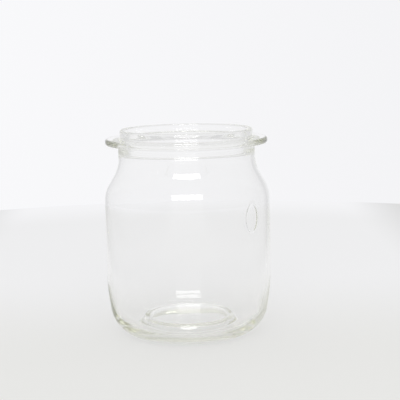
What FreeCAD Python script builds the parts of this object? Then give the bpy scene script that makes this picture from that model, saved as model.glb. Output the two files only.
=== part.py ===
# Preserving jar of clear glass, pressed and blown in one piece, for a lid that is clipped or clamped on.
# The lid, its gasket and its wire bail are separate things and aren't part of it.
#
# The jar is a body of revolution about Z: a low lip that the lid sits on, a flange round it for the gasket
# and the clamp, a short neck, an S-shaped shoulder, a straight side that draws in to a large round heel,
# a narrow bearing ring, and a base whose centre is stepped up from below. Origin: centre of the bearing
# ring, on the plane it stands on.
import FreeCAD, Part
import math
import os

# Driving dimensions, in millimetres.
TOTAL_HEIGHT = 124.5
BODY_DIAMETER = 100.0
WALL = 1.9                # side, shoulder and neck

NECK_DIAMETER = 82.4
NECK_HEIGHT = 7.9         # from the shoulder to the flange's underside
LIP_INSET = 1.2           # the lip stands this far inside the neck's outline
LIP_WALL = 2.7
LIP_HEIGHT = 5.2          # above the flange
LIP_ROUND = 1.2           # both edges of the lip's top
LIP_FOOT_FILLET = 0.7     # where the lip rises from the flange
FLANGE_REACH = 7.5        # beyond the neck
FLANGE_THICKNESS = 3.6
FLANGE_EDGE_ROUND = 1.3
FLANGE_FILLET = 2.6       # where the flange's underside meets the neck

SHOULDER_HEIGHT = 25.5
SHOULDER_SLOPE = 7.6      # length of the straight between the shoulder's two arcs

# Outside, the side leaves the upright at this height and has drawn in by this much at its heel.
DRAW_START_HEIGHT = 40.0
DRAW_IN = 2.0
HEEL_RADIUS = 18.0

# Inside, it draws in further, so that the glass thickens towards the floor.
BORE_DRAW_IN = 2.4
BORE_HEEL_RADIUS = 14.2
FLOOR_HEIGHT = 5.0        # trough of the floor, above the table

# The stamped centre, below and inside: a step with a straight slope, then a flat dome.
STEP_ANGLE = math.radians(60)
BEARING_WIDTH = 1.6       # flat ring that touches the table, round the foot of the step
PUSH_UP_STEP = 5.6
PUSH_UP_ROUND = 2.0       # at the foot and at the top of the step
PUSH_UP_RISE = 6.6        # from the table to the middle of the dome
FLOOR_STEP = 5.2
FLOOR_ROUND = 3.0
FLOOR_RISE = 6.4          # from the trough to the middle of the dome

# Radii and heights that follow from them.
body_radius = BODY_DIAMETER / 2
bore_radius = body_radius - WALL
neck_radius = NECK_DIAMETER / 2
neck_bore_radius = neck_radius - WALL
lip_radius = neck_radius - LIP_INSET
mouth_radius = lip_radius - LIP_WALL
flange_radius = neck_radius + FLANGE_REACH
bearing_outer_radius = body_radius - DRAW_IN - HEEL_RADIUS
bearing_inner_radius = bearing_outer_radius - BEARING_WIDTH
trough_radius = bore_radius - BORE_DRAW_IN - BORE_HEEL_RADIUS

flange_top = TOTAL_HEIGHT - LIP_HEIGHT
flange_underside = flange_top - FLANGE_THICKNESS
shoulder_top = flange_underside - NECK_HEIGHT
shoulder_base = shoulder_top - SHOULDER_HEIGHT


class HalfSection:
    """Outline of the glass in the XZ plane, drawn from point to point with straights and arcs."""

    def __init__(self, radius, height):
        self.here = (radius, height)
        self.edges = []

    @staticmethod
    def vector(point):
        return FreeCAD.Vector(point[0], 0.0, point[1])

    def line(self, radius, height):
        there = (radius, height)
        if math.dist(self.here, there) > 1e-6:
            self.edges.append(Part.LineSegment(self.vector(self.here), self.vector(there)).toShape())
            self.here = there

    def slope(self, length, angle):
        """Straight of a length, at an angle in radians from X towards Z."""
        self.line(self.here[0] + length * math.cos(angle), self.here[1] + length * math.sin(angle))

    def arc(self, centre, turn):
        """Go round a centre by an angle in radians, positive from X towards Z."""
        across = self.here[0] - centre[0]
        up = self.here[1] - centre[1]
        start = math.atan2(up, across)
        radius = math.hypot(across, up)

        def point(angle):
            return (centre[0] + radius * math.cos(angle), centre[1] + radius * math.sin(angle))

        there = point(start + turn)
        middle = point(start + turn / 2)
        arc = Part.Arc(self.vector(self.here), self.vector(middle), self.vector(there))
        self.edges.append(arc.toShape())
        self.here = there

    def s_bend(self, radius, height, straight=0.0, offset=0.0):
        """Leave an upright line and end on another one, over two arcs with a straight between them.
        The first arc's radius is larger than the second's by twice the offset."""
        run = radius - self.here[0]
        rise = height - self.here[1]
        if abs(run) < 1e-6:
            self.line(radius, height)
            return
        mean = (run ** 2 + rise ** 2 - straight ** 2) / (4 * abs(run))
        turn = math.atan2(abs(rise), 2 * mean - abs(run)) - math.atan2(straight, 2 * mean)
        side = math.copysign(1.0, run)
        spin = -math.copysign(turn, run * rise)
        self.arc((self.here[0] + side * (mean + offset), self.here[1]), spin)
        self.slope(straight, math.copysign(math.pi / 2, rise) + spin)
        self.arc((radius - side * (mean - offset), height), -spin)

    def round_corner(self, centre_radius, centre_height, quarter):
        """Quarter turn about a centre: +1 for an outer edge of the glass, -1 for a fillet in a corner."""
        self.arc((centre_radius, centre_height), quarter * math.pi / 2)


def draw_in_arc(draw, heel_radius, height):
    """Long arc that leaves an upright side at a height above the heel's lowest point, and meets the heel.
    Gives its radius, and the angle that it turns before it meets the heel's arc."""
    drop = height - heel_radius
    radius = (draw ** 2 + 2 * draw * heel_radius + drop ** 2) / (2 * draw)
    return radius, math.atan2(drop, radius - draw - heel_radius)


def stamped_centre(foot_radius, step, edge_round, rise):
    """Centre that is raised from a level ring: a round foot, a straight slope, a round top edge and a dome.
    Gives the slope's length, the radius at which the top edge is centred, and the dome's radius and turn."""
    slope = (step - 2 * edge_round * (1 - math.cos(STEP_ANGLE))) / math.sin(STEP_ANGLE)
    edge_centre = foot_radius - 2 * edge_round * math.sin(STEP_ANGLE) - slope * math.cos(STEP_ANGLE)
    depth = rise - step + edge_round      # of the edge's centre below the middle of the dome
    radius = (edge_centre ** 2 + depth ** 2 - edge_round ** 2) / (2 * (depth - edge_round))
    return slope, edge_centre, radius, math.atan2(edge_centre, radius - depth)


def outline_underside(section):
    """Push-up from the axis down its step, and the flat ring that the jar stands on."""
    slope, edge_centre, radius, turn = stamped_centre(
        bearing_inner_radius, PUSH_UP_STEP, PUSH_UP_ROUND, PUSH_UP_RISE)
    section.arc((0.0, PUSH_UP_RISE - radius), -turn)
    section.arc((edge_centre, PUSH_UP_STEP - PUSH_UP_ROUND), turn - STEP_ANGLE)
    section.slope(slope, -STEP_ANGLE)
    section.arc((bearing_inner_radius, PUSH_UP_ROUND), STEP_ANGLE)
    section.line(bearing_outer_radius, 0.0)


def outline_side(section):
    """Heel, drawn-in lower side, upright side, shoulder and neck, from the table up."""
    radius, turn = draw_in_arc(DRAW_IN, HEEL_RADIUS, DRAW_START_HEIGHT)
    section.arc((bearing_outer_radius, HEEL_RADIUS), math.pi / 2 - turn)
    section.arc((body_radius - radius, DRAW_START_HEIGHT), turn)
    section.line(body_radius, shoulder_base)
    section.s_bend(neck_radius, shoulder_top, SHOULDER_SLOPE)
    section.line(neck_radius, flange_underside - FLANGE_FILLET)


def outline_finish(section):
    """Flange with its round edge, then the lip up one side, over its top and down to the mouth."""
    section.round_corner(neck_radius + FLANGE_FILLET, flange_underside - FLANGE_FILLET, -1)
    edge_centre = flange_radius - FLANGE_EDGE_ROUND
    section.line(edge_centre, flange_underside)
    section.round_corner(edge_centre, flange_underside + FLANGE_EDGE_ROUND, 1)
    section.line(flange_radius, flange_top - FLANGE_EDGE_ROUND)
    section.round_corner(edge_centre, flange_top - FLANGE_EDGE_ROUND, 1)
    section.line(lip_radius + LIP_FOOT_FILLET, flange_top)
    section.round_corner(lip_radius + LIP_FOOT_FILLET, flange_top + LIP_FOOT_FILLET, -1)
    section.line(lip_radius, TOTAL_HEIGHT - LIP_ROUND)
    section.round_corner(lip_radius - LIP_ROUND, TOTAL_HEIGHT - LIP_ROUND, 1)
    section.line(mouth_radius + LIP_ROUND, TOTAL_HEIGHT)
    section.round_corner(mouth_radius + LIP_ROUND, TOTAL_HEIGHT - LIP_ROUND, 1)
    section.line(mouth_radius, flange_underside)


def outline_bore(section):
    """Inside of the neck, shoulder, side and heel, down to the trough, then up to the floor's middle."""
    section.s_bend(neck_bore_radius, shoulder_top)
    section.s_bend(bore_radius, shoulder_base, SHOULDER_SLOPE, WALL)
    section.line(bore_radius, DRAW_START_HEIGHT)
    radius, turn = draw_in_arc(BORE_DRAW_IN, BORE_HEEL_RADIUS, DRAW_START_HEIGHT - FLOOR_HEIGHT)
    section.arc((bore_radius - radius, DRAW_START_HEIGHT), -turn)
    section.arc((trough_radius, FLOOR_HEIGHT + BORE_HEEL_RADIUS), turn - math.pi / 2)
    slope, edge_centre, radius, turn = stamped_centre(trough_radius, FLOOR_STEP, FLOOR_ROUND, FLOOR_RISE)
    section.arc((trough_radius, FLOOR_HEIGHT + FLOOR_ROUND), -STEP_ANGLE)
    section.slope(slope, math.pi - STEP_ANGLE)
    section.arc((edge_centre, FLOOR_HEIGHT + FLOOR_STEP - FLOOR_ROUND), STEP_ANGLE - turn)
    section.arc((0.0, FLOOR_HEIGHT + FLOOR_RISE - radius), turn)


def glass_jar():
    """The whole jar: its half-section, closed along the axis and turned once round it."""
    section = HalfSection(0.0, PUSH_UP_RISE)
    outline_underside(section)
    outline_side(section)
    outline_finish(section)
    outline_bore(section)
    section.line(0.0, PUSH_UP_RISE)
    face = Part.Face(Part.Wire(section.edges))
    return face.revolve(FreeCAD.Vector(0, 0, 0), FreeCAD.Vector(0, 0, 1), 360)


os.makedirs("parts", exist_ok=True)
glass_jar().exportStep("parts/glass_jar.step")
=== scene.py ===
# An empty preserving jar of clear glass, without its lid, gasket and bail, on a pale table.
import math

import bpy
from mathutils import Matrix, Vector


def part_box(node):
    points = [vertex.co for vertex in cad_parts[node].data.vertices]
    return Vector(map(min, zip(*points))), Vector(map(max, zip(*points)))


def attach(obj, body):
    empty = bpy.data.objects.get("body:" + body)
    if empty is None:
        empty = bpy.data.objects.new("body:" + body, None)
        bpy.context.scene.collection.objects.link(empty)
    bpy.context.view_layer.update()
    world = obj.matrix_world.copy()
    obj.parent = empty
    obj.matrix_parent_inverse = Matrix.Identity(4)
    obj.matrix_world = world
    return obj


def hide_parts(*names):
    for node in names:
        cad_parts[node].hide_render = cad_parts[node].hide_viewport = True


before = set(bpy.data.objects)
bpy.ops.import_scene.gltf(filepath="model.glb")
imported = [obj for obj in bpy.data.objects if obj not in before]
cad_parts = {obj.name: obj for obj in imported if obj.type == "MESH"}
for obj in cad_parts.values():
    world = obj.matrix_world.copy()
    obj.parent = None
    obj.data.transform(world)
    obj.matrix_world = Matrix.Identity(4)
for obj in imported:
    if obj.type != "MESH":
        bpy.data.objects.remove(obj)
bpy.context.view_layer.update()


# The jar.
# Soda-lime container glass, pressed and blown in one piece. The lip and flange are pressed between steel
# tools, so they are true. The rest is blown into a mould, so only its outside is.
MM = 0.001

jar_low, jar_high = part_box("glass_jar")
total_height = jar_high[2] - jar_low[2]
body_radius = (jar_high[0] - jar_low[0]) / 2
wall = 1.9 * MM

neck_radius = 41.2 * MM
neck_height = 7.9 * MM
lip_radius = neck_radius - 1.2 * MM
mouth_radius = lip_radius - 2.7 * MM
lip_height = 5.2 * MM
lip_round = 1.2 * MM
lip_foot_fillet = 0.7 * MM
flange_radius = neck_radius + 7.5 * MM
flange_thickness = 3.6 * MM
flange_edge_round = 1.3 * MM
flange_fillet = 2.6 * MM

shoulder_height = 25.5 * MM
shoulder_slope = 7.6 * MM

draw_start = 40.0 * MM
draw_in = 2.0 * MM
heel_radius = 18.0 * MM
bore_draw_in = 2.4 * MM
bore_heel_radius = 14.2 * MM
floor_height = 5.0 * MM
floor_step = 5.2 * MM
floor_round = 3.0 * MM
floor_rise = 6.4 * MM

step_angle = math.radians(60)
bearing_width = 1.6 * MM
push_up_step = 5.6 * MM
push_up_round = 2.0 * MM
push_up_rise = 6.6 * MM

bore_radius = body_radius - wall
neck_bore_radius = neck_radius - wall
bearing_outer = body_radius - draw_in - heel_radius
bearing_inner = bearing_outer - bearing_width
trough_radius = bore_radius - bore_draw_in - bore_heel_radius
flange_top = total_height - lip_height
flange_underside = flange_top - flange_thickness
shoulder_top = flange_underside - neck_height
shoulder_base = shoulder_top - shoulder_height


class HalfSection:
    """Outline of the glass as a row of points, each with the direction that faces out of the glass."""

    def __init__(self, radius, height, facing):
        self.points = [(radius, height)]
        self.facings = [facing]

    def line(self, radius, height, spacing=3.0 * MM):
        """Straight to a point, in steps no longer than the spacing."""
        start = self.points[-1]
        run = radius - start[0]
        rise = height - start[1]
        length = math.hypot(run, rise)
        steps = math.ceil(length / spacing - 1e-6)
        for step in range(1, steps + 1):
            self.points.append((start[0] + run * step / steps, start[1] + rise * step / steps))
            self.facings.append((rise / length, -run / length))

    def arc(self, centre, turn, spacing=1.5 * MM, largest_turn=math.radians(8)):
        """Go round a centre, with the glass on the left hand when the turn is positive."""
        start = self.points[-1]
        radius = math.dist(start, centre)
        angle = math.atan2(start[1] - centre[1], start[0] - centre[0])
        steps = max(math.ceil(abs(turn) / largest_turn), math.ceil(radius * abs(turn) / spacing))
        side = math.copysign(1.0, turn)
        for step in range(1, steps + 1):
            here = angle + turn * step / steps
            self.points.append((centre[0] + radius * math.cos(here), centre[1] + radius * math.sin(here)))
            self.facings.append((side * math.cos(here), side * math.sin(here)))

    def slope(self, length, angle):
        """Straight of a length, at an angle from the radius towards the height."""
        start = self.points[-1]
        self.line(start[0] + length * math.cos(angle), start[1] + length * math.sin(angle))

    def s_bend(self, radius, height, straight=0.0, offset=0.0):
        """From one upright line to another, over two arcs with a straight between them."""
        start = self.points[-1]
        run = radius - start[0]
        rise = height - start[1]
        mean = (run ** 2 + rise ** 2 - straight ** 2) / (4 * abs(run))
        turn = math.atan2(abs(rise), 2 * mean - abs(run)) - math.atan2(straight, 2 * mean)
        side = math.copysign(1.0, run)
        spin = -math.copysign(turn, run * rise)
        self.arc((start[0] + side * (mean + offset), start[1]), spin)
        if straight > 0:
            self.slope(straight, math.copysign(math.pi / 2, rise) + spin)
        self.arc((radius - side * (mean - offset), height), -spin)


def draw_in_arc(draw, heel, height):
    """Radius and turn of the long arc from an upright side into a heel. The height at which it leaves the
    side is measured from the heel's lowest point."""
    drop = height - heel
    radius = (draw ** 2 + 2 * draw * heel + drop ** 2) / (2 * draw)
    return radius, math.atan2(drop, radius - draw - heel)


def raised_centre(foot, edge, step, rise):
    """A centre raised above a ring by a step and a dome: the length of the step's slope, the radius at which
    its upper round is centred, and the dome's radius and turn."""
    slope = (step - 2 * edge * (1 - math.cos(step_angle))) / math.sin(step_angle)
    across = foot - 2 * edge * math.sin(step_angle) - slope * math.cos(step_angle)
    below = rise - step + edge
    radius = (across ** 2 + below ** 2 - edge ** 2) / (2 * (below - edge))
    return slope, across, radius, math.atan2(across, radius - below)


# A plain raised oval line on the outside wall, cut into the mould. The rows of the mesh are close there.
oval_angle = math.radians(-90 + 47.8)
oval_height = 74.6 * MM
oval_half_width = 4.9 * MM
oval_half_height = 8.0 * MM
oval_line = 1.2 * MM
oval_relief = 0.4 * MM
oval_row = 0.4 * MM

section = HalfSection(0.0, push_up_rise, (0.0, -1.0))

# Under the base, from the middle of its dome, down the step, to the ring that the jar stands on.
slope, across, radius, turn = raised_centre(bearing_inner, push_up_round, push_up_step, push_up_rise)
section.arc((0.0, push_up_rise - radius), -turn)
section.arc((across, push_up_step - push_up_round), turn - step_angle)
section.slope(slope, -step_angle)
section.arc((bearing_inner, push_up_round), step_angle)
section.line(bearing_outer, 0.0)

# Heel, side, shoulder and neck.
radius, turn = draw_in_arc(draw_in, heel_radius, draw_start)
section.arc((bearing_outer, heel_radius), math.pi / 2 - turn)
section.arc((body_radius - radius, draw_start), turn)
section.line(body_radius, oval_height - oval_half_height - oval_line)
section.line(body_radius, shoulder_base, oval_row)
section.s_bend(neck_radius, shoulder_top, shoulder_slope)
section.line(neck_radius, flange_underside - flange_fillet)

# Flange and lip.
section.arc((neck_radius + flange_fillet, flange_underside - flange_fillet), -math.pi / 2)
section.line(flange_radius - flange_edge_round, flange_underside)
section.arc((flange_radius - flange_edge_round, flange_underside + flange_edge_round), math.pi / 2)
section.line(flange_radius, flange_top - flange_edge_round)
section.arc((flange_radius - flange_edge_round, flange_top - flange_edge_round), math.pi / 2)
section.line(lip_radius + lip_foot_fillet, flange_top)
section.arc((lip_radius + lip_foot_fillet, flange_top + lip_foot_fillet), -math.pi / 2)
section.line(lip_radius, total_height - lip_round)
section.arc((lip_radius - lip_round, total_height - lip_round), math.pi / 2)
section.line(mouth_radius + lip_round, total_height)
section.arc((mouth_radius + lip_round, total_height - lip_round), math.pi / 2)

# Inside, from the mouth down to the trough of the floor, and up its step to the middle.
first_bore_point = len(section.points)
section.line(mouth_radius, flange_underside)
section.s_bend(neck_bore_radius, shoulder_top)
section.s_bend(bore_radius, shoulder_base, shoulder_slope, wall)
section.line(bore_radius, draw_start)
radius, turn = draw_in_arc(bore_draw_in, bore_heel_radius, draw_start - floor_height)
section.arc((bore_radius - radius, draw_start), -turn)
section.arc((trough_radius, floor_height + bore_heel_radius), turn - math.pi / 2)
slope, across, radius, turn = raised_centre(trough_radius, floor_round, floor_step, floor_rise)
section.arc((trough_radius, floor_height + floor_round), -step_angle)
section.slope(slope, math.pi - step_angle)
section.arc((across, floor_height + floor_step - floor_round), step_angle - turn)
section.arc((0.0, floor_height + floor_rise - radius), turn)

# How freely each point was blown: not at all outside, at the lip and at the flange, and fully inside from
# low on the shoulder down.
blown_shares = []
for index, (radius, height) in enumerate(section.points):
    below_flange = min(1.0, max(0.0, (flange_underside - height) / shoulder_height))
    blown_shares.append(below_flange if index >= first_bore_point else 0.0)

outline = bpy.data.meshes.new("jar_outline")
rows = [(radius, 0.0, height) for radius, height in section.points]
outline.from_pydata(rows, [(row, row + 1) for row in range(len(rows) - 1)], [])
facing = outline.attributes.new("facing", "FLOAT_VECTOR", "POINT")
facing.data.foreach_set("vector", [value for run, rise in section.facings for value in (run, 0.0, rise)])
blown = outline.attributes.new("blown", "FLOAT", "POINT")
blown.data.foreach_set("value", blown_shares)


# The outline is turned once round the axis. The mould gives the outside its true round shape and the raised
# oval. The gob settles unevenly inside, so the bore stands a little to one side and is gently wavy.
def add(tree, kind, inputs=None, **settings):
    """Add a node. Its settings are properties, and its inputs are values, sockets, or nodes, whose first
    output is then used."""
    node = tree.nodes.new(kind)
    for name, value in settings.items():
        setattr(node, name, value)
    for name, value in (inputs or {}).items():
        source = value.outputs[0] if isinstance(value, bpy.types.Node) else value
        if isinstance(source, bpy.types.NodeSocket):
            tree.links.new(source, node.inputs[name])
        else:
            node.inputs[name].default_value = source
    return node


def turned_jar_tree():
    """Geometry Nodes that turn an outline round Z, with the raised oval and the unevenness of blown glass."""
    tree = bpy.data.node_groups.new("turned_jar", "GeometryNodeTree")
    tree.interface.new_socket("Geometry", in_out="INPUT", socket_type="NodeSocketGeometry")
    for name in ("Crowding", "Oval Angle", "Oval Radius", "Oval Height", "Oval Half Width",
                 "Oval Half Height", "Oval Line", "Oval Relief", "Bore Shift", "Ripple Depth",
                 "Ripple Size"):
        tree.interface.new_socket(name, in_out="INPUT", socket_type="NodeSocketFloat")
    tree.interface.new_socket("Sides", in_out="INPUT", socket_type="NodeSocketInt")
    tree.interface.new_socket("Glass", in_out="INPUT", socket_type="NodeSocketMaterial")
    tree.interface.new_socket("Geometry", in_out="OUTPUT", socket_type="NodeSocketGeometry")
    given = tree.nodes.new("NodeGroupInput").outputs

    # A grid with one row for each point of the outline, and one column for each side.
    size = add(tree, "GeometryNodeAttributeDomainSize", {"Geometry": given["Geometry"]}, component="MESH")
    columns = add(tree, "ShaderNodeMath", {0: given["Sides"], 1: 1.0}, operation="ADD")
    grid = add(tree, "GeometryNodeMeshGrid", {"Vertices X": columns, "Vertices Y": size})
    index = add(tree, "GeometryNodeInputIndex")
    row = add(tree, "ShaderNodeMath", {0: index, 1: size}, operation="MODULO")
    column = add(tree, "ShaderNodeMath", {0: index, 1: size}, operation="DIVIDE")
    column = add(tree, "ShaderNodeMath", {0: column}, operation="FLOOR")

    # What the outline says about this row.
    point = add(tree, "GeometryNodeInputPosition")
    place = add(tree, "GeometryNodeSampleIndex",
                {"Geometry": given["Geometry"], "Value": point, "Index": row}, data_type="FLOAT_VECTOR")
    facing = add(tree, "GeometryNodeInputNamedAttribute", {"Name": "facing"}, data_type="FLOAT_VECTOR")
    facing = add(tree, "GeometryNodeSampleIndex",
                 {"Geometry": given["Geometry"], "Value": facing, "Index": row}, data_type="FLOAT_VECTOR")
    blown = add(tree, "GeometryNodeInputNamedAttribute", {"Name": "blown"}, data_type="FLOAT")
    blown = add(tree, "GeometryNodeSampleIndex",
                {"Geometry": given["Geometry"], "Value": blown, "Index": row}, data_type="FLOAT")

    # Angle of this column, measured from the oval. The columns crowd together there.
    turn = add(tree, "ShaderNodeMath", {0: column, 1: given["Sides"]}, operation="DIVIDE")
    turn = add(tree, "ShaderNodeMath", {0: turn, 1: 0.5}, operation="SUBTRACT")
    turn = add(tree, "ShaderNodeMath", {0: turn, 1: 2 * math.pi}, operation="MULTIPLY")
    pull = add(tree, "ShaderNodeMath", {0: turn}, operation="SINE")
    pull = add(tree, "ShaderNodeMath", {0: pull, 1: given["Crowding"]}, operation="MULTIPLY")
    turn = add(tree, "ShaderNodeMath", {0: turn, 1: pull}, operation="SUBTRACT")
    angle = add(tree, "ShaderNodeMath", {0: turn, 1: given["Oval Angle"]}, operation="ADD")

    # Raised line: each point's distance from the oval is worked out in the plane of the unrolled wall.
    around = add(tree, "ShaderNodeMath", {0: turn, 1: given["Oval Radius"]}, operation="MULTIPLY")
    height = add(tree, "ShaderNodeSeparateXYZ", {0: place}).outputs["Z"]
    up = add(tree, "ShaderNodeMath", {0: height, 1: given["Oval Height"]}, operation="SUBTRACT")
    flat = add(tree, "ShaderNodeCombineXYZ", {"X": around, "Y": up})
    axes = add(tree, "ShaderNodeCombineXYZ",
               {"X": given["Oval Half Width"], "Y": given["Oval Half Height"], "Z": 1.0})
    scaled = add(tree, "ShaderNodeVectorMath", {0: flat, 1: axes}, operation="DIVIDE")
    reach = add(tree, "ShaderNodeVectorMath", {0: scaled}, operation="LENGTH").outputs["Value"]
    slope = add(tree, "ShaderNodeVectorMath", {0: scaled, 1: axes}, operation="DIVIDE")
    slope = add(tree, "ShaderNodeVectorMath", {0: slope}, operation="LENGTH").outputs["Value"]
    beyond = add(tree, "ShaderNodeMath", {0: reach, 1: 1.0}, operation="SUBTRACT")
    beyond = add(tree, "ShaderNodeMath", {0: beyond, 1: reach}, operation="MULTIPLY")
    beyond = add(tree, "ShaderNodeMath", {0: beyond, 1: slope}, operation="DIVIDE")
    beyond = add(tree, "ShaderNodeMath", {0: beyond}, operation="ABSOLUTE")
    half_line = add(tree, "ShaderNodeMath", {0: given["Oval Line"], 1: 0.5}, operation="MULTIPLY")
    relief = add(tree, "ShaderNodeMapRange",
                 {"Value": beyond, "From Min": half_line, "From Max": 0.0, "To Min": 0.0,
                  "To Max": given["Oval Relief"]}, interpolation_type="SMOOTHSTEP")
    outside = add(tree, "ShaderNodeMath", {0: blown, 1: 0.0, 2: 0.001}, operation="COMPARE")
    bore_row = add(tree, "ShaderNodeSeparateXYZ", {0: facing}).outputs["X"]
    bore_row = add(tree, "ShaderNodeMath", {0: bore_row, 1: 0.5}, operation="GREATER_THAN")
    outside = add(tree, "ShaderNodeMath", {0: outside, 1: bore_row}, operation="MULTIPLY")
    relief = add(tree, "ShaderNodeMath", {0: relief, 1: outside}, operation="MULTIPLY")

    # Waves of the blown inside, read where the surface is, so that they close round the jar.
    turned = add(tree, "ShaderNodeVectorRotate", {"Vector": place, "Angle": angle}, rotation_type="Z_AXIS")
    waves = add(tree, "ShaderNodeMath", {0: 1.0, 1: given["Ripple Size"]}, operation="DIVIDE")
    waves = add(tree, "ShaderNodeTexNoise", {"Vector": turned, "Scale": waves, "Detail": 1.0},
                noise_dimensions="3D")
    waves = add(tree, "ShaderNodeMath", {0: waves, 1: 0.5}, operation="SUBTRACT")
    waves = add(tree, "ShaderNodeMath", {0: waves, 1: given["Ripple Depth"]}, operation="MULTIPLY")
    waves = add(tree, "ShaderNodeMath", {0: waves, 1: blown}, operation="MULTIPLY")

    # Move each point out along its facing, turn it round the axis, and shift the bore sideways.
    depth = add(tree, "ShaderNodeMath", {0: relief, 1: waves}, operation="ADD")
    moved = add(tree, "ShaderNodeVectorMath", {0: facing, "Scale": depth}, operation="SCALE")
    moved = add(tree, "ShaderNodeVectorMath", {0: place, 1: moved}, operation="ADD")
    moved = add(tree, "ShaderNodeVectorRotate", {"Vector": moved, "Angle": angle}, rotation_type="Z_AXIS")
    shift = add(tree, "ShaderNodeMath", {0: blown, 1: given["Bore Shift"]}, operation="MULTIPLY")
    shift = add(tree, "ShaderNodeCombineXYZ", {"X": shift})
    moved = add(tree, "ShaderNodeVectorMath", {0: moved, 1: shift}, operation="ADD")

    jar = add(tree, "GeometryNodeSetPosition", {"Geometry": grid, "Position": moved})
    jar = add(tree, "GeometryNodeMergeByDistance", {"Geometry": jar, "Distance": 0.001 * MM})
    jar = add(tree, "GeometryNodeSetShadeSmooth", {"Geometry": jar})
    jar = add(tree, "GeometryNodeRealizeInstances", {"Geometry": jar})
    jar = add(tree, "GeometryNodeSetMaterial", {"Geometry": jar, "Material": given["Glass"]})
    add(tree, "NodeGroupOutput", {"Geometry": jar})
    return tree


def linear(code):
    """An sRGB hex colour as the linear values that a shader takes."""
    values = []
    for place in (1, 3, 5):
        value = int(code[place:place + 2], 16) / 255
        values.append(value / 12.92 if value <= 0.04045 else ((value + 0.055) / 1.055) ** 2.4)
    return values + [1.0]


def container_glass():
    """Soda-lime container glass, blown and fire-polished: clear and glossy where thin, and faintly
    yellow-green where one looks along it or through the thick base."""
    material = bpy.data.materials.new("soda_lime_container_glass")
    material.use_nodes = True
    tree = material.node_tree
    tree.nodes.clear()
    glass = add(tree, "ShaderNodeBsdfPrincipled",
                {"Base Color": linear("#ffffff"), "Roughness": 0.0, "IOR": 1.52, "Transmission Weight": 1.0})
    tint = add(tree, "ShaderNodeVolumeAbsorption", {"Color": linear("#bec192"), "Density": 5.0})
    add(tree, "ShaderNodeOutputMaterial", {"Surface": glass, "Volume": tint})
    return material


def apply_tree(name, mesh, tree, values):
    """Run a tree on a mesh and keep the result as a plain mesh object."""
    holder = bpy.data.objects.new(name + "_outline", mesh)
    bpy.context.scene.collection.objects.link(holder)
    modifier = holder.modifiers.new("turn", "NODES")
    modifier.node_group = tree
    for socket in tree.interface.items_tree:
        if socket.in_out == "INPUT" and socket.name in values:
            modifier[socket.identifier] = values[socket.name]
    evaluated = holder.evaluated_get(bpy.context.evaluated_depsgraph_get())
    finished = bpy.data.meshes.new_from_object(evaluated)
    finished.name = name
    holder.modifiers.remove(modifier)
    bpy.data.objects.remove(holder)
    piece = bpy.data.objects.new(name, finished)
    bpy.context.scene.collection.objects.link(piece)
    return piece


jar = apply_tree("jar_glass", outline, turned_jar_tree(), {
    "Sides": 256,
    "Crowding": 0.8,
    "Oval Angle": oval_angle,
    "Oval Radius": body_radius,
    "Oval Height": oval_height,
    "Oval Half Width": oval_half_width,
    "Oval Half Height": oval_half_height,
    "Oval Line": oval_line,
    "Oval Relief": oval_relief,
    "Bore Shift": -0.45 * MM,
    "Ripple Depth": 0.3 * MM,
    "Ripple Size": 24.0 * MM,
    "Glass": container_glass(),
})
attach(jar, "root")
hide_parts("glass_jar")


# The table.
# A round top of matt white laminate, a pressed sheet without shine, that the jar stands on. Beyond its rim
# there is only the backdrop.
table_radius = 540 * MM
table_rim_start = 410 * MM
# Painted shade on the table: darker and warmer in front of the jar, whiter behind it, between these two
# depths.
painted_shade_front = -60 * MM
painted_shade_back = 160 * MM
# Painted shade on the table: greyer towards both sides, between these two distances from the middle.
painted_side_shade_start = 165 * MM
painted_side_shade_end = 235 * MM
table_glow = 0.8


def lit_share(tree, share):
    """How much of a surface shows its own colour to the eye, directly or in glass, instead of its shading."""
    rays = add(tree, "ShaderNodeLightPath").outputs
    seen = add(tree, "ShaderNodeMath", {0: rays["Is Camera Ray"], 1: rays["Is Glossy Ray"]},
               operation="MAXIMUM")
    seen = add(tree, "ShaderNodeMath", {0: seen, 1: rays["Is Transmission Ray"]}, operation="MAXIMUM")
    return add(tree, "ShaderNodeMath", {0: seen, 1: share}, operation="MULTIPLY")


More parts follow.
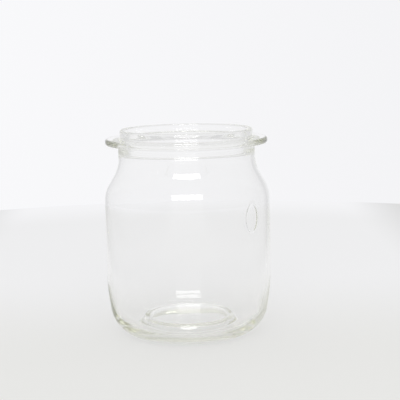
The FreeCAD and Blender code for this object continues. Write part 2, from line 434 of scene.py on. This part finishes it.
def pale_table():
    """Matt white laminate, smooth and without shine. Painted shade makes it darker and warmer in front,
    whiter and cooler behind the jar, and greyer at both sides, which the edges of the glass show as thin
    lines. At its rim it is whiter still, in the backdrop's colour. It glows in part, as a white ground does
    round glass, so that the jar's shadow stays light."""
    material = bpy.data.materials.new("matt_white_laminate")
    material.use_nodes = True
    tree = material.node_tree
    tree.nodes.clear()
    here = add(tree, "ShaderNodeTexCoord").outputs["Object"]
    place = add(tree, "ShaderNodeSeparateXYZ", {0: here}).outputs
    # Painted shade: darker and warmer in front, lighter behind the jar.
    painted_front_shade = add(tree, "ShaderNodeMapRange",
                {"Value": place["Y"], "From Min": painted_shade_front, "From Max": painted_shade_back},
                interpolation_type="SMOOTHSTEP")
    # Painted shade: greyer towards both sides.
    aside = add(tree, "ShaderNodeMath", {0: place["X"]}, operation="ABSOLUTE")
    aside = add(tree, "ShaderNodeMapRange",
                {"Value": aside, "From Min": painted_side_shade_start, "From Max": painted_side_shade_end},
                interpolation_type="SMOOTHSTEP")
    away = add(tree, "ShaderNodeVectorMath", {0: here}, operation="LENGTH").outputs["Value"]
    rim = add(tree, "ShaderNodeMapRange",
              {"Value": away, "From Min": table_rim_start, "From Max": table_radius},
              interpolation_type="SMOOTHSTEP")
    # e9e9e7 in front and #f1f1f2 behind are painted shade, #f8f8fa is the backdrop's colour at the rim, and
    # #e0e0e0 is the painted grey at the sides.
    colour = add(tree, "ShaderNodeMix", {0: painted_front_shade, 6: linear("#e9e9e7"), 7: linear("#f1f1f2")},
                 data_type="RGBA").outputs[2]
    colour = add(tree, "ShaderNodeMix", {0: rim, 6: colour, 7: linear("#f8f8fa")},
                 data_type="RGBA").outputs[2]
    colour = add(tree, "ShaderNodeMix", {0: aside, 6: colour, 7: linear("#e0e0e0")},
                 data_type="RGBA").outputs[2]
    matt = add(tree, "ShaderNodeBsdfDiffuse", {"Color": colour})
    glow = add(tree, "ShaderNodeEmission", {"Color": colour, "Strength": 1.0})
    both = add(tree, "ShaderNodeMixShader", {0: lit_share(tree, table_glow), 1: matt, 2: glow})
    add(tree, "ShaderNodeOutputMaterial", {"Surface": both})
    return material


bpy.ops.mesh.primitive_circle_add(vertices=128, radius=table_radius, fill_type="NGON")
table = bpy.context.object
table.name = "table_top"
table.data.materials.append(pale_table())


# The room.
# A white studio backdrop at eye level, a little brighter at the left. It falls off softly to both sides and
# up to the ceiling, and the edges of the glass show those greys as thin lines.
def room():
    world = bpy.data.worlds.new("white_studio")
    world.use_nodes = True
    tree = world.node_tree
    tree.nodes.clear()
    towards = add(tree, "ShaderNodeTexCoord").outputs["Generated"]
    towards = add(tree, "ShaderNodeSeparateXYZ", {0: towards}).outputs

    # Each place is a share of a direction: 0 straight ahead, 1 straight to the side or straight up.
    left_end = -0.2
    right_end = 0.2
    side_start = 0.30
    side_end = 0.38
    ceiling_start = 0.25
    ceiling_end = 0.8
    across = add(tree, "ShaderNodeMapRange",
                 {"Value": towards["X"], "From Min": left_end, "From Max": right_end})
    aside = add(tree, "ShaderNodeMath", {0: towards["X"]}, operation="ABSOLUTE")
    aside = add(tree, "ShaderNodeMapRange", {"Value": aside, "From Min": side_start, "From Max": side_end},
                interpolation_type="SMOOTHSTEP")
    climb = add(tree, "ShaderNodeMapRange",
                {"Value": towards["Z"], "From Min": ceiling_start, "From Max": ceiling_end})
    seen = add(tree, "ShaderNodeMix", {0: across, 6: linear("#f9f9fb"), 7: linear("#f4f4f6")},
               data_type="RGBA").outputs[2]
    seen = add(tree, "ShaderNodeMix", {0: aside, 6: seen, 7: linear("#e0e0e2")},
               data_type="RGBA").outputs[2]
    seen = add(tree, "ShaderNodeMix", {0: climb, 6: seen, 7: linear("#dcdcde")},
               data_type="RGBA").outputs[2]
    backdrop = add(tree, "ShaderNodeBackground", {"Color": seen, "Strength": 1.0})

    # What lights the table is an even, softer white.
    soft = add(tree, "ShaderNodeBackground", {"Color": linear("#ffffff"), "Strength": 0.75})
    both = add(tree, "ShaderNodeMixShader", {0: lit_share(tree, 1.0), 1: soft, 2: backdrop})
    add(tree, "ShaderNodeOutputWorld", {"Surface": both})
    bpy.context.scene.world = world


room()


# The window.
# One broad soft panel above and behind the camera. The jar's walls and base mirror it as short white bars.
window_distance = 1.5
window_rise = math.radians(36)
window_half_width = math.radians(18.5)
window_half_height = math.radians(8.5)
window_power = 7.5
window_aim_height = 90 * MM
window = bpy.data.lights.new("window", "AREA")
window.shape = "RECTANGLE"
window.size = 2 * window_distance * math.tan(window_half_width)
window.size_y = 2 * window_distance * math.tan(window_half_height)
window.energy = window_power
window_object = bpy.data.objects.new("window", window)
aim = Matrix.Translation((0, 0, window_aim_height)) @ Matrix.Rotation(math.pi / 2 - window_rise, 4, "X")
window_object.matrix_world = aim @ Matrix.Translation((0, 0, window_distance))
bpy.context.scene.collection.objects.link(window_object)


# The camera, a little above the rim and looking slightly down.
camera_distance = 643.3 * MM
camera_height = 176.1 * MM
camera_turn = math.radians(-0.68)
camera_tilt = math.radians(-8.42)
camera_roll = math.radians(-1.05)
camera = bpy.data.cameras.new("camera")
camera.sensor_width = 36.0
camera.lens = 96.5
camera.clip_start = 10 * MM
camera_object = bpy.data.objects.new("camera", camera)
place = Matrix.Translation((0, -camera_distance, camera_height))
swing = Matrix.Rotation(camera_turn, 4, "Z") @ Matrix.Rotation(math.pi / 2 + camera_tilt, 4, "X")
camera_object.matrix_world = place @ swing @ Matrix.Rotation(camera_roll, 4, "Z")
bpy.context.scene.collection.objects.link(camera_object)
bpy.context.scene.camera = camera_object
bpy.context.scene.view_settings.view_transform = "Standard"

# Thick clear glass passes light on many times inside, and turns black where it is followed too briefly.
glass_bounces = 512
cycles = bpy.context.scene.cycles
cycles.max_bounces = glass_bounces
cycles.transmission_bounces = glass_bounces
cycles.glossy_bounces = glass_bounces
